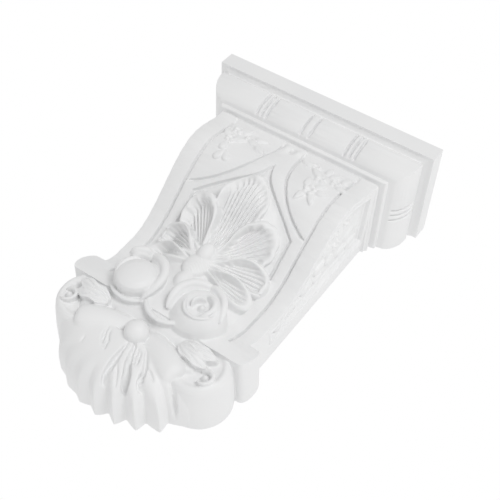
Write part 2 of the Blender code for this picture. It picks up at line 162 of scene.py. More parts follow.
# The body: an S-shaped block with a plain border on each side, an ogee arch band that frames
# the palmette, and a sunk field in each flank. It swells into ears at its foot. All of this is
# relief on one skin, so it is worked out as heights on a grid and raised square to the surface.
S_TURNS = [(60.0, 57.0), (30.0, 62.0), (-40.0, 24.6), (-54.0, 24.6), (-86.0, 36.5)]
BODY_TOP = 61.0
BODY_BOTTOM = -85.0
BODY_HALF_WIDTH = 56.0
EDGE_TAPER = 0.045
EAR_X = 57.0
EAR_Z = -75.5
EAR_HALF_HEIGHT = 9.6
EAR_BACK_SWELL = 6.6
EAR_FRONT_SWELL = 5.0
BORDER_LINE_X = 44.5
BORDER_LINE_LEAN = 0.02
BORDER_LINE_END = -73.0
LINE_DROP = 3.0
ARCH_CORNER_X = 35.0
ARCH_CORNER_Z = -1.5
ARCH_SLOPE = 0.7
ARCH_POINT_RISE = 8.0
ARCH_POINT_WIDTH = 3.0
ARCH_STEM_HALF = 7.0
ARCH_SWEEP = 15.0
POINT_Z = 54.0
POINT_DROP = 3.0
CURL_X = 4.2
CURL_RISE = 1.6
PANEL_DROP = 1.3
PANEL_FADE_LOW = -34.0
PANEL_FADE_HIGH = -20.0
SWELL_MARGIN = 14.0
SWELL_CREST = [(18.0, 62.2), (-30.0, 43.5), (-44.0, 40.5), (-57.0, 41.5), (-95.0, 41.0)]
FLANK_DROP = 3.4
FLANK_INNER = 12.0
FLANK_FRAME = 6.5
FLANK_LOW_Z = -46.0
FLANK_HIGH_Z = 54.0


def eased(z, turns):
    """A smooth curve through (height, value) turns, level at each of them."""
    turns = sorted(turns)
    value = np.full(np.shape(z), turns[0][1])
    for (start, a), (end, b) in zip(turns, turns[1:]):
        t = np.clip((z - start) / (end - start), 0.0, 1.0)
        value = np.where(z > start, a + (b - a) * (1.0 - np.cos(math.pi * t)) / 2.0, value)
    return value


def front_depth(z):
    """Depth of the front at a height, before any relief."""
    return eased(z, S_TURNS)


def half_width(z, taper, swell):
    """Half the width of the body at a height, with the swelling of the ears."""
    plain = BODY_HALF_WIDTH + taper * z
    rise = np.clip(1.0 - ((z - EAR_Z) / EAR_HALF_HEIGHT) ** 2, 0.0, 1.0)
    return np.where(rise > 0.0, np.maximum(plain, EAR_X + swell * rise ** 0.3), plain)


def arch_height(x):
    """Height of the arch's inner edge at a distance from the centre line."""
    point = ARCH_POINT_RISE * np.exp(-x / ARCH_POINT_WIDTH)
    return ARCH_CORNER_Z + ARCH_SLOPE * (ARCH_CORNER_X - x) + point


def arch_outer_x(z):
    """Distance of the arch's outer edge from the centre line at a height."""
    return ARCH_STEM_HALF + (BORDER_LINE_X - 3.0 - ARCH_STEM_HALF) * np.exp((2.0 - z) / ARCH_SWEEP)


def swell_depth(x, z):
    """The front with the rounded swelling that the palmette lies on."""
    base = front_depth(z)
    inside = smooth(arch_height(np.abs(x)) - z, 0.0, SWELL_MARGIN)
    across = np.clip(1.0 - (x / ARCH_CORNER_X) ** 2, 0.0, 1.0)
    return base + np.clip(eased(z, SWELL_CREST) - base, 0.0, None) * across * inside


def line_cut(distance):
    """Drop of a fine incised line, from the distance to its middle."""
    return LINE_DROP * np.sqrt(np.clip(1.0 - (distance / GROOVE_HALF_WIDTH) ** 2, 0.0, 1.0))


def arch_relief(x, z):
    """Band, panel and incised lines of the ogee arch, on both halves."""
    side = np.abs(x)
    edge = arch_height(side)
    slope = ARCH_SLOPE + ARCH_POINT_RISE / ARCH_POINT_WIDTH * np.exp(-side / ARCH_POINT_WIDTH)
    inner = (edge - z) / np.sqrt(1.0 + slope ** 2)
    inner = np.where(z < ARCH_CORNER_Z, np.minimum(inner, ARCH_CORNER_X - side), inner)
    fade = smooth(z, PANEL_FADE_LOW, PANEL_FADE_HIGH)
    relief = -PANEL_DROP * smooth(inner, -0.2, 0.9) * fade
    relief = relief - line_cut(inner + 0.5) * fade
    outer_x = arch_outer_x(z)
    lean = (outer_x - ARCH_STEM_HALF) / ARCH_SWEEP
    outer = (side - outer_x) / np.sqrt(1.0 + lean ** 2)
    above = smooth(z, 1.0, 3.0)
    relief = relief - line_cut(outer) * above
    relief = relief - 0.5 * smooth(outer, -0.4, 0.8) * above
    border = side - BORDER_LINE_X - BORDER_LINE_LEAN * z
    relief = np.where(border > -0.6, 0.0, relief)
    relief = relief - line_cut(border) * smooth(z, BORDER_LINE_END, BORDER_LINE_END + 2.0)
    hollow = 1.0 - smooth(np.hypot(x / 1.6, (z - POINT_Z) / 3.2), 0.4, 1.0)
    curl = np.exp(-((side - CURL_X) / 2.4) ** 2 - ((z - POINT_Z - 0.5) / 3.4) ** 2)
    return relief - POINT_DROP * hollow + CURL_RISE * curl


def flank_relief(depth, z):
    """The sunk field of a flank, inside its raised frame, and a fine bead round it."""
    edge = np.minimum(front_depth(z) - FLANK_FRAME - depth, depth - FLANK_INNER)
    edge = np.minimum(edge, np.minimum(z - FLANK_LOW_Z, FLANK_HIGH_Z - z))
    bead = np.sqrt(np.clip(1.0 - ((edge - 1.9) / 0.9) ** 2, 0.0, 1.0))
    line = np.sqrt(np.clip(1.0 - ((edge + 2.2) / 0.6) ** 2, 0.0, 1.0)) * (z < FLANK_HIGH_Z)
    return -FLANK_DROP * smooth(edge, -0.2, 0.8) + 1.1 * bead - 0.7 * line


# The palmette: seven cupped lobes, each a smooth rolled rim round a hollow with fine veins that
# fan out from its root. They overlap from the top one down, with a bud where they meet.
VEIN_DROP = 2.9
ROOT_SHARE = 0.62
BUD_Z = -36.0
BUD_RISE = 4.6
SEPAL_Z = -46.0
SEPAL_RISE = 3.6
# every lobe is cupped towards the same side, up and to the right
TILT = (0.82, 0.57)
# tip x, tip z, root x, root z, half width, rise of the rim, veins, scallops on the rim, sharpness
PALMETTE_LOBES = [
    (0.0, 22.0, 0.0, -36.0, 15.5, 4.2, 12, 0, 0.22),
    (28.0, -3.0, 4.0, -36.0, 11.5, 5.6, 10, 5, 0.0),
    (38.0, -24.5, 6.0, -40.0, 9.6, 5.8, 9, 0, 0.0),
    (35.5, -45.0, 4.0, -45.0, 8.8, 6.2, 9, 0, 0.0),
]


def lobe_heights(x, z, lobe, side):
    """Height of one lobe over its own ground, and how surely a place is inside it."""
    tip_x, tip_z, root_x, root_z, half, rise, veins, scallops, sharp = lobe
    along = np.array([tip_x - root_x, tip_z - root_z])
    length = np.hypot(*along)
    along = along / length
    u = ((side * x - root_x) * along[0] + (z - root_z) * along[1]) / length
    v = -(side * x - root_x) * along[1] + (z - root_z) * along[0]
    head = np.clip((u - ROOT_SHARE) / (1.0 - ROOT_SHARE), 0.0, None)
    bearing = np.arctan2(v / half, head)
    wide = half * (0.22 + 0.78 * smooth(u, 0.0, ROOT_SHARE))
    ruffle = (np.abs(np.sin(bearing * scallops)) - 0.6) * (head > 0.0)
    wide = wide * (1.0 + 0.06 * scallops / 5.0 * ruffle)
    wide = wide * (1.0 - sharp * smooth(head, 0.0, 1.2))
    reach = np.where(head > 0.0, np.hypot(head * half * 0.98, v) / wide, np.abs(v) / wide)
    inset = (1.0 - reach) * wide
    rim_width = 1.8 + 0.9 * smooth(u, 0.4, 1.0)
    rim = np.sqrt(np.clip(1.0 - ((inset - rim_width * 0.7) / (rim_width * 0.7)) ** 2, 0.0, 1.0))
    rim = np.where(inset > rim_width * 0.7, 1.0 - smooth(inset, rim_width * 0.7, rim_width * 2.2), rim)
    middle_x = side * (root_x + along[0] * length * 0.6)
    middle_z = root_z + along[1] * length * 0.6
    tilt = ((x - middle_x) * TILT[0] + (z - middle_z) * TILT[1]) / (half * 1.2)
    floor = -0.22 + 0.92 * smooth(tilt, -0.5, 1.2)
    height = rise * (floor + (1.0 - floor) * rim) * (0.35 + 0.65 * smooth(u, 0.02, 0.45))
    fan = np.arctan2(v, (u + 0.55) * length)
    wave = fan / math.atan2(half, (ROOT_SHARE + 0.55) * length) * veins / 2.0
    vein = np.abs(np.cos(math.pi * wave)) ** 1.1
    where = smooth(inset, rim_width * 0.9, rim_width * 1.6) * smooth(u, 0.08, 0.16)
    where = where * (1.0 - smooth(u, 0.84, 0.92))
    height = height - VEIN_DROP * (1.0 - 0.6 * smooth(tilt, 0.1, 1.4)) * (1.0 - vein) * where
    inside = smooth(inset, -0.15, 0.35) * (u > -0.06)
    return height, inside


def palmette_relief(x, z, relief):
    """Lays the lobes over the panel, each over the one before it."""
    for order, lobe in enumerate(PALMETTE_LOBES):
        for side in ((1.0,) if lobe[0] == 0.0 else (1.0, -1.0)):
            height, inside = lobe_heights(x, z, lobe, side)
            relief = relief * (1.0 - inside) + (height + 0.25 * order - PANEL_DROP * 0.5) * inside
    bud = np.sqrt(np.clip(1.0 - (x / 4.6) ** 2 - ((z - BUD_Z) / 6.5) ** 2, 0.0, 1.0))
    relief = np.where(bud > 0.0, np.maximum(relief, 1.0 + BUD_RISE * bud), relief)
    sepal_span = np.clip(1.0 - (x / 7.5) ** 2 - ((z - SEPAL_Z) / 9.0) ** 2, 0.0, 1.0)
    hatch = np.abs(np.sin(math.pi * (z + 0.7 * np.abs(x)) / 2.0)) ** 0.6
    sepal = 1.0 + SEPAL_RISE * np.sqrt(sepal_span) - 0.6 * (1.0 - hatch)
    return np.where((sepal_span > 0.0) & (z < BUD_Z - 2.0), np.maximum(relief, sepal), relief)


def body_rings():
    """Rings of the body from its top to its foot, with all the relief raised on them."""
    z = np.arange(BODY_TOP, BODY_BOTTOM, -FINE * 0.9)[:, None]
    z = np.concatenate((z, [[BODY_BOTTOM]]))
    front_half = half_width(z, EDGE_TAPER, EAR_FRONT_SWELL)
    back_half = half_width(z, 0.0, EAR_BACK_SWELL)
    across = np.linspace(-1.0, 1.0, int(112 / FINE))[None, :]
    x = front_half * across
    skin = np.stack((x, swell_depth(x, z), z + 0.0 * x), axis=-1)
    normal = np.cross(np.gradient(skin, axis=1), np.gradient(skin, axis=0))
    normal = normal / np.linalg.norm(normal, axis=-1, keepdims=True)
    normal = normal * np.where(normal[..., 1:2] < 0.0, -1.0, 1.0)
    relief = palmette_relief(x, z + 0.0 * x, arch_relief(x, z))
    front = skin + normal * relief[..., None]
    out = np.linspace(0.0, 1.0, int(62 / FINE))[None, :-1]
    depth = front_depth(z) * out
    flank = back_half + (front_half - back_half) * out + flank_relief(depth, z)
    right = np.stack((flank, depth, z + 0.0 * depth), axis=-1)
    left = right * np.array([-1.0, 1.0, 1.0])
    return np.concatenate((left, front, right[:, ::-1]), axis=1)


lofted("body", body_rings())

# The big acanthus leaf: it fans out from a round boss, folds over a brow and hangs down to the
# wall in pleats with pointed tips. A soft roll stands on each side of the boss. The clay was
# worked with the fingers here, so these forms are run together and softened as one.
BOSS_Z = -103.0
BOSS_DEPTH = 38.0
BOSS_RADIUS = 7.0
LEAF_TIP_X = 12.7
LEAF_LOW_Z = low.z / MM
LEAF_LAST = 4.15
BROW_POWER = 3.6
STROKE_STEPS = 70
SOFT_ROUNDS = 6
SOFT_RATIO = 1.4
VOXEL = 0.36
# deep finger strokes on the leaf: half width, drop, then (share of the way down, lobe) turns
LEAF_STROKES = [
    (1.7, 4.4, [(0.02, 0.85), (0.08, 0.5), (0.17, 0.34), (0.35, 0.31), (0.66, 0.36)]),
    (1.0, 2.4, [(0.1, 0.68), (0.26, 0.52), (0.45, 0.4)]),
    (2.3, 5.6, [(0.02, 2.6), (0.08, 1.85), (0.17, 1.62), (0.31, 1.64), (0.7, 1.52)]),
    (1.6, 3.8, [(0.04, 4.0), (0.12, 3.36), (0.2, 2.95), (0.3, 2.6), (0.43, 2.35), (0.6, 2.4)]),
    (1.8, 3.6, [(0.3, 3.95), (0.5, 3.8), (0.7, 3.72), (0.97, 3.7)]),
    (1.0, 2.2, [(0.2, 3.15), (0.38, 3.13)]),
    (0.9, 2.2, [(0.03, 3.2), (0.1, 2.3), (0.2, 2.0)]),
    (0.9, 2.2, [(0.05, 3.3), (0.12, 2.6), (0.2, 2.2)]),
    (0.9, 2.0, [(0.2, 0.75), (0.36, 1.0), (0.57, 1.1)]),
    (1.1, 2.6, [(0.07, -3.9), (0.115, -2.5), (0.16, -1.5)]),
    (1.1, 2.6, [(0.06, -3.6), (0.1, -1.9), (0.17, -1.0)]),
    (0.7, 1.6, [(0.05, -3.9), (0.09, -2.1), (0.14, -1.2)]),
    (0.6, 1.2, [(0.23, -3.1), (0.3, -2.66), (0.37, -2.4)]),
]


def tip_places(s):
    """Tip of the leaf at the wall, for lobes numbered from the middle one."""
    x = LEAF_TIP_X * s * (1.0 - 0.004 * s * s)
    z = LEAF_LOW_Z + 0.2 + 1.37 * s * s + 3.0 * smooth(np.abs(s), 3.4, LEAF_LAST)
    return x, z


def leaf_places(s, t):
    """Places on the leaf for lobes s, a share t of the way from the boss to the wall."""
    tip_x, tip_z = tip_places(s)
    turn = t * math.pi / 2.0
    out = np.sin(turn) ** (2.0 / BROW_POWER)
    up = np.cos(turn) ** (2.0 / BROW_POWER)
    ridge = np.abs(np.cos(math.pi * s)) ** 0.9
    tooth = 1.0 - np.abs(2.0 * (s - np.round(s)))
    wall = smooth(t, 0.45, 0.75)
    crease = 1.0 - ((1.0 - wall) * ridge + wall * tooth)
    worked = 0.25 + 0.75 * smooth(s, -0.5, 0.8)
    deep = (0.15 + 0.7 * smooth(out, 0.3, 0.95)) * worked
    gather = (0.07 + 0.08 * smooth(s, -1.6, -0.6)) * (0.4 + 0.6 * worked)
    spread = out * (1.0 - gather * crease * smooth(out, 0.55, 1.0))
    x = tip_x * spread
    z = BOSS_Z + (tip_z - BOSS_Z) * spread
    depth = 1.0 + (BOSS_DEPTH - 1.5) * up - (1.0 - wall) * deep * crease
    return np.stack((x, np.clip(depth, 0.0, None), z), axis=-1)


def leaf_rings():
    """Rings across the leaf, with its pleats and strokes on top and flat at the wall."""
    s = np.linspace(-LEAF_LAST, LEAF_LAST, int(165 / FINE))[None, :]
    t = np.linspace(0.0, 1.0, int(75 / FINE))[:, None]
    top = leaf_places(s, t)
    normal = np.cross(np.gradient(top, axis=0), np.gradient(top, axis=1))
    normal = normal / (np.linalg.norm(normal, axis=-1, keepdims=True) + 1e-9)
    normal = normal * np.where(normal[..., 1:2] < 0.0, -1.0, 1.0)
    cut = np.zeros(top.shape[:2])
    for half, drop, turns in LEAF_STROKES:
        line_t = np.linspace(turns[0][0], turns[-1][0], STROKE_STEPS)
        line_s = np.interp(line_t, [turn[0] for turn in turns], [turn[1] for turn in turns])
        fullness = np.sin(math.pi * np.linspace(0.04, 0.96, STROKE_STEPS)) ** 0.5
        for place, full in zip(leaf_places(line_s, line_t), fullness):
            gap = np.linalg.norm(top - place, axis=-1) / (half * full)
            cut = np.maximum(cut, drop * full * np.sqrt(np.clip(1.0 - gap ** 2, 0.0, 1.0)))
    top = top - normal * cut[..., None]
    top[..., 1] = np.clip(top[..., 1], 0.0, None)
    under = leaf_places(s, t)[::-1, :] * np.array([0.96, 0.0, 1.0])
    under[..., 2] = BOSS_Z + (under[..., 2] - BOSS_Z) * 0.98
    return np.concatenate((top, under), axis=0).transpose(1, 0, 2)


def ball(name, centre, radii, rows=40):
    """A rounded boss or lobe, with its centre and radii along x, depth and z."""
    polar = np.linspace(0.02, math.pi - 0.02, rows)[:, None]
    around = np.linspace(0.0, 2.0 * math.pi, rows * 2, endpoint=False)[None, :]
    places = np.stack((np.sin(polar) * np.cos(around), np.sin(polar) * np.sin(around),
                       np.cos(polar) + 0.0 * around), axis=-1)
    return lofted(name, np.array(centre) + places * np.array(radii))


def roll(name, start, end, start_radius, end_radius, flatness):
    """A soft bolster between two places (x, depth, z), flattened towards the wall."""
    start, end = np.array(start), np.array(end)
    length = np.linalg.norm(end - start)
    axis = (end - start) / length
    across = np.cross(axis, (0.0, 1.0, 0.0))
    across = across / np.linalg.norm(across)
    outward = np.cross(across, axis)
    share = np.linspace(0.0, math.pi, 60)[:, None]
    middle = smooth(share, 0.6, math.pi - 0.6)
    radius = start_radius + (end_radius - start_radius) * middle
    run = length * middle - radius * np.cos(share)
    girth = radius * np.maximum(np.sin(share) ** 0.7, 0.01)
    around = np.linspace(0.0, 2.0 * math.pi, 80, endpoint=False)[None, :]
    sideways = across * (girth * np.cos(around))[..., None]
    raised = outward * (girth * flatness * np.sin(around))[..., None]
    return lofted(name, start + axis * run[..., None] + sideways + raised)


def united(name, parts, voxel, rounds):
    """One closed skin round all the parts, softened by a number of rounds."""
    target = parts[0]
    bpy.ops.object.select_all(action="DESELECT")
    for part in parts:
        part.select_set(True)
    bpy.context.view_layer.objects.active = target
    bpy.ops.object.join()
    target.name = name
    target.data.name = name
    remesh = target.modifiers.new("skin", "REMESH")
    remesh.mode = "VOXEL"
    remesh.voxel_size = voxel * MM
    soften = target.modifiers.new("soften", "SMOOTH")
    soften.factor = 0.5
    soften.iterations = rounds
    graph = bpy.context.evaluated_depsgraph_get()
    skin = bpy.data.meshes.new_from_object(target.evaluated_get(graph))
    target.modifiers.clear()
    target.data = skin
    return target


crisp_count = len(forms)
lofted("big_leaf", leaf_rings())
roll("ledge_roll", (-29.0, 25.0, -90.0), (29.0, 25.0, -90.0), 9.0, 9.0, 0.95)
ball("middle_swell", (6.0, 26.0, -93.0), (14.0, 9.0, 8.0))
for side in (1.0, -1.0):
    roll("side_roll", (side * 11.0, 30.6, -99.0), (side * 27.0, 32.6, -106.0), 8.0, 9.8, 0.88)
ball("low_fill", (-4.0, 31.0, -86.0), (9.0, 7.0, 6.5))
roll("under_roses", (-32.0, 31.5, -88.0), (32.0, 31.5, -88.0), 6.0, 6.0, 0.9)
soft_leaf = united("soft_leaf", forms[crisp_count:], VOXEL * SOFT_RATIO, SOFT_ROUNDS)
del forms[crisp_count:]
forms.append(soft_leaf)
ball("boss", (1.5, 38.5, -101.5), (BOSS_RADIUS, BOSS_RADIUS, BOSS_RADIUS))

# The scroll drums and their leaflets: a plain turned drum on each side of the leaf with a soft
# rim, a sunk face and a coiled eye, and a small veined leaf that springs out under the ledge.
VOLUTE_X = 40.0
VOLUTE_Z = -96.0
EYE_X = 48.5
EYE_Z = -101.5
HEEL_TOP = BODY_BOTTOM + 8.0
HEEL_BOTTOM = -115.0
HEEL_DEPTH = 26.0
LEAFLET_VEIN_DROP = 1.3
# depth and radius of the drum's profile
DRUM_PROFILE = [(0.0, 20.0), (14.0, 19.7), (26.0, 18.8), (31.0, 18.0), (33.2, 16.8),
                (34.0, 15.4), (33.6, 14.0), (32.6, 13.0), (32.2, 11.0), (32.4, 1.0)]


def drum_rings(side):
    """Rings of one drum, from the wall over its rim to the middle of its sunk face."""
    depth = np.array([place[0] for place in DRUM_PROFILE])
    radius = np.array([place[1] for place in DRUM_PROFILE])
    run = np.concatenate(([0.0], np.cumsum(np.hypot(np.diff(depth), np.diff(radius)))))
    fine_run = np.linspace(0.0, run[-1], 90)
    depth = np.interp(fine_run, run, depth)[:, None]
    radius = np.interp(fine_run, run, radius)[:, None]
    around = np.linspace(0.0, 2.0 * math.pi, 200, endpoint=False)[None, :]
    return np.stack((side * (VOLUTE_X + radius * np.cos(around)), depth + 0.0 * around,
                     VOLUTE_Z + radius * np.sin(around)), axis=-1)


def blade(name, root, tip, across, half, bow, lobes, veins, thickness):
    """A leaf from root to tip, bowed outwards, with cut lobes and fine veins."""
    root, tip, across = (np.array(value, float) for value in (root, tip, across))
    axis = tip - root
    across = across - axis * (across @ axis) / (axis @ axis)
    across = across / np.linalg.norm(across)
    normal = np.cross(axis, across)
    normal = normal / np.linalg.norm(normal)
    if normal[1] < 0.0:
        normal = -normal
    u = np.linspace(0.01, 0.995, 70)[:, None]
    v = np.linspace(-1.0, 1.0, 60)[None, :]
    width = half * np.sqrt(np.clip(1.0 - (2.0 * (u ** 0.8) - 1.0) ** 2, 0.0, 1.0)) + 0.2
    width = width * (1.0 - 0.22 * np.abs(np.cos(math.pi * lobes * u)) ** 2.0)
    height = bow * np.sin(math.pi * u)
    slant = np.abs(np.cos(math.pi * veins * (np.abs(v) * 0.5 - 0.5 * u))) ** 0.7
    vein = (1.0 - slant) * smooth(1.0 - np.abs(v), 0.05, 0.2)
    flat = root + axis * u[..., None] + across * (v * width)[..., None]
    top = flat + normal * (height - LEAFLET_VEIN_DROP * vein)[..., None]
    edge = np.sqrt(np.clip(1.0 - v ** 2, 0.0, 1.0))
    under = flat + normal * (height - thickness * (0.6 + 0.4 * edge))[..., None]
    return lofted(name, np.concatenate((top, under[:, ::-1]), axis=1))


def petal(name, centre, start, end, root_radius, rim_radius, root_depth, rim_depth,
          roll_out, thickness, droop):
    """One petal round a flower's centre (x, z); angles in degrees from +x towards +z."""
    turn = np.radians(np.linspace(start, end, 90))[:, None]
    share = np.linspace(-1.0, 1.0, 90)[:, None]
    t = np.linspace(0.0, 1.0, 40)[None, :]
    corner = np.clip(1.0 - np.abs(share) ** 5, 0.0, 1.0)
    rim = rim_depth - droop * np.abs(share) ** 3
    outer = root_radius + (rim_radius - root_radius) * t ** 1.3
    outer = outer + roll_out * smooth(t, 0.7, 1.0) ** 2
    depth = root_depth + (rim - root_depth) * np.sin(t * math.pi / 2.0) ** 0.9
    wall = thickness * (0.3 + 0.7 * corner)
    lip = np.linspace(0.0, math.pi, 12)[None, 1:-1]
    lip_radius = outer[:, -1:] - wall / 2.0 + wall / 2.0 * np.cos(lip)
    lip_depth = rim + wall / 2.0 * np.sin(lip)
    radius = np.concatenate((outer + 0.0 * share, lip_radius, (outer - wall)[:, ::-1]), axis=1)
    level = np.concatenate((depth, lip_depth, depth[:, ::-1]), axis=1)
    x = centre[0] + radius * np.cos(turn)
    z = centre[1] + radius * np.sin(turn)
    return lofted(name, np.stack((x, level, z), axis=-1))


heel_outline = ((-VOLUTE_X, 0.0), (-VOLUTE_X, HEEL_DEPTH), (VOLUTE_X, HEEL_DEPTH), (VOLUTE_X, 0.0))
heel = [[(x, depth, z) for x, depth in heel_outline] for z in (HEEL_TOP, HEEL_BOTTOM)]
lofted("heel", np.array(heel))
for side in (1.0, -1.0):
    lofted("drum", drum_rings(side))
    ball("leaflet_bed", (side * 33.5, 31.0, -100.0), (8.0, 5.0, 5.0))
    ball("eye", (side * EYE_X, 31.5, EYE_Z), (2.4, 5.0, 2.4))
    petal("eye_curl", (side * EYE_X, EYE_Z), -130.0, 150.0, 4.8, 5.2, 26.0, 36.2, 0.2, 2.2, 2.0)
    for root, tip in (((25.0, 37.0, -93.0), (48.0, 39.0, -91.0)),
                      ((25.0, 38.0, -94.0), (46.0, 37.0, -97.5))):
        blade("leaflet", (side * root[0], *root[1:]), (side * tip[0], *tip[1:]), (0.0, 0.3, 1.0),
              half=4.2, bow=4.0, lobes=2, veins=3, thickness=17.0)

# The roses: two deep cupped flowers side by side over the leaf. Each is a heart wrapped in thick
# petals with rolled edges; the left one is a big closed bud, the right one has opened.
LEFT_ROSE = (-20.5, -72.0)
RIGHT_ROSE = (20.5, -72.0)
RIGHT_HEART = (24.0, -72.5)
CUP = (6.0, -75.0)


def mound(name, levels):
    """A smooth heap of rounds, each (x, z, radius, depth)."""
    levels = np.array(levels)
    run = np.arange(len(levels))
    fine_run = np.linspace(0.0, run[-1], 12 * len(levels))
    x, z, radius, depth = (np.interp(fine_run, run, levels[:, i])[:, None] for i in range(4))
    around = np.linspace(0.0, 2.0 * math.pi, 120, endpoint=False)[None, :]
    return lofted(name, np.stack((x + radius * np.cos(around), depth + 0.0 * around,
                                  z + radius * np.sin(around)), axis=-1))


mound("left_bud", [(-20.5, -72.8, 13.4, 20.0), (-20.5, -73.0, 13.4, 38.0), (-20.0, -73.8, 13.2, 43.0),
                   (-19.4, -75.0, 12.6, 46.4), (-18.8, -76.0, 10.8, 49.2), (-18.6, -76.2, 7.6, 51.0),
                   (-18.6, -76.2, 3.8, 51.9), (-18.6, -76.2, 0.1, 52.1)])
mound("left_base", [(-20.5, -72.6, 15.4, 18.0), (-20.5, -72.8, 15.2, 35.0), (-20.5, -73.0, 13.0, 38.0),
                    (-20.5, -73.0, 0.1, 39.0)])
petal("left_crescent", LEFT_ROSE, -50.0, 108.0, 15.2, 16.8, 24.0, 47.6, 1.0, 5.6, 6.0)
petal("left_small_petal", LEFT_ROSE, 98.0, 150.0, 15.0, 16.2, 24.0, 48.5, 1.0, 4.0, 4.0)
petal("left_side_petal", (-20.0, -73.0), 118.0, 236.0, 15.4, 13.8, 24.0, 46.4, 0.0, 3.4, 5.0)
petal("left_low_petal", (-20.0, -73.4), 222.0, 352.0, 15.4, 15.8, 20.0, 40.6, 1.0, 3.0, 1.6)
mound("right_body", [(20.5, -72.0, 17.4, 20.0), (20.5, -72.0, 17.2, 34.0), (21.2, -72.2, 15.8, 41.0),
                     (22.6, -72.4, 12.6, 46.0), (23.4, -72.5, 10.8, 48.0), (24.0, -72.5, 8.8, 48.0),
                     (24.4, -72.5, 5.0, 46.8), (24.4, -72.5, 0.1, 46.5)])
petal("right_outer_petal", RIGHT_ROSE, -4.0, 105.0, 15.8, 16.6, 24.0, 47.4, 0.9, 4.4, 3.4)
petal("right_side_petal", RIGHT_ROSE, 80.0, 215.0, 15.4, 16.4, 24.0, 48.2, 0.8, 5.0, 5.0)
petal("right_inner_petal", RIGHT_HEART, 175.0, 345.0, 9.8, 9.9, 30.0, 49.8, 0.4, 2.0, 1.5)
petal("right_swirl_petal", (24.6, -71.8), -80.0, 110.0, 7.2, 7.8, 30.0, 50.0, 0.6, 3.0, 3.0)
petal("right_heart_petal", (23.2, -72.4), 75.0, 215.0, 4.6, 5.0, 30.0, 50.6, 0.2, 2.0, 2.0)
ball("right_heart", (25.0, 43.0, -73.0), (3.0, 7.0, 3.0))
petal("cup_petal", CUP, 192.0, 340.0, 15.0, 15.4, 20.0, 41.4, 0.9, 3.0, 1.2)
mound("cup_base", [(6.0, -75.0, 14.6, 18.0), (6.0, -75.0, 13.8, 38.4), (6.0, -74.5, 11.5, 39.6),
                   (6.0, -74.0, 0.1, 41.0)])
ball("small_leaf", (0.5, 38.0, -58.0), (6.0, 7.0, 8.5))

# The flower sprays: small blossoms and pointed leaves in the spandrels and down each flank, in
# the same primed foam as the rest. They are two little forms that are set again and again on
# the ground, so a node tree sets them.
DULL_WHITE = (0.835, 0.838, 0.842, 1.0)
CLEAN_WHITE = (0.885, 0.885, 0.883, 1.0)
MOTTLE_SCALE = 28.0
GRAIN_SCALE = 1400.0
GRAIN_DEPTH = 0.0001
# blossoms: across, height and size; leaves: across, height, turn in degrees and size
SPANDREL_BLOSSOMS = [(29.0, 28.0, 4.6), (29.0, 41.0, 4.2), (38.0, 44.0, 3.8), (20.0, 51.0, 3.8),
                     (-36.0, 38.5, 4.4), (-38.0, 50.0, 4.2), (-27.0, 46.0, 3.8)]
SPANDREL_LEAVES = [(24.5, 34.0, 110.0, 4.5), (33.5, 34.5, 60.0, 4.2), (23.5, 45.5, 150.0, 5.0),
                   (44.0, 40.5, -10.0, 4.0), (34.5, 50.0, 60.0, 4.5), (14.0, 50.5, 170.0, 5.0),
                   (29.0, 52.5, 95.0, 4.2), (42.0, 51.0, 70.0, 4.2), (33.5, 22.5, -60.0, 4.0),
                   (25.5, 22.0, -110.0, 4.0), (37.0, 29.5, 10.0, 4.0), (-33.5, 22.5, 70.0, 4.6),
                   (-29.5, 23.5, 120.0, 4.0), (-35.5, 30.5, 95.0, 4.6), (-31.0, 40.5, 30.0, 4.5),
                   (-21.5, 43.5, -15.0, 5.2), (-15.5, 40.0, -25.0, 4.8), (-42.5, 44.0, 120.0, 4.4),
                   (-32.0, 52.5, 60.0, 4.5), (-20.5, 50.5, 20.0, 4.6)]
FLANK_BLOSSOMS = [(45.0, 34.0, 5.0), (46.5, 44.5, 4.6), (45.5, 21.5, 4.4), (33.0, 24.0, 4.2),
                  (27.0, 50.0, 3.8)]
FLANK_LEAVES = [(33.0, 47.0, 20.0, 6.0), (20.0, 43.0, 70.0, 6.5), (31.0, 38.5, 50.0, 6.5),
                (21.5, 32.0, 80.0, 6.2), (38.5, 29.0, 20.0, 4.8), (34.0, 15.5, 10.0, 5.5),
                (25.0, 18.0, 110.0, 6.0), (39.0, 12.0, 40.0, 5.0), (28.0, 6.0, 70.0, 6.2),
                (20.0, 5.0, 95.0, 5.5), (22.5, -8.0, 85.0, 6.5), (18.0, -17.0, 92.0, 5.5),
                (19.0, -26.0, 92.0, 5.6), (16.5, -36.0, 92.0, 6.0)]


class Socket:
    """A node's output that takes part in sums like a number, and makes further nodes."""

    def __init__(self, tree, output=None):
        self.tree = tree
        self.output = output

    def feed(self, made, **values):
        """Sets or links a node's inputs, by name with _ for a blank, or by number after _."""
        for key, value in values.items():
            socket = made.inputs[int(key[1:]) if key[0] == "_" else key.replace("_", " ")]
            if isinstance(value, Socket):
                self.tree.links.new(value.output, socket)
            else:
                socket.default_value = value

    def node(self, kind, settings=None, output=0, **values):
        """Makes a node, gives it its settings and then its inputs, and returns one output."""
        made = self.tree.nodes.new(kind)
        for key, value in (settings or {}).items():
            setattr(made, key, value)
        self.feed(made, **values)
        return Socket(self.tree, made.outputs[output] if len(made.outputs) else None)

    def maths(self, operation, a, b):
        """A Math node on two values."""
        return self.node("ShaderNodeMath", {"operation": operation}, _0=a, _1=b)

    def __add__(self, other):
        return self.maths("ADD", self, other)

    __radd__ = __add__

    def __mul__(self, other):
        return self.maths("MULTIPLY", self, other)

    __rmul__ = __mul__


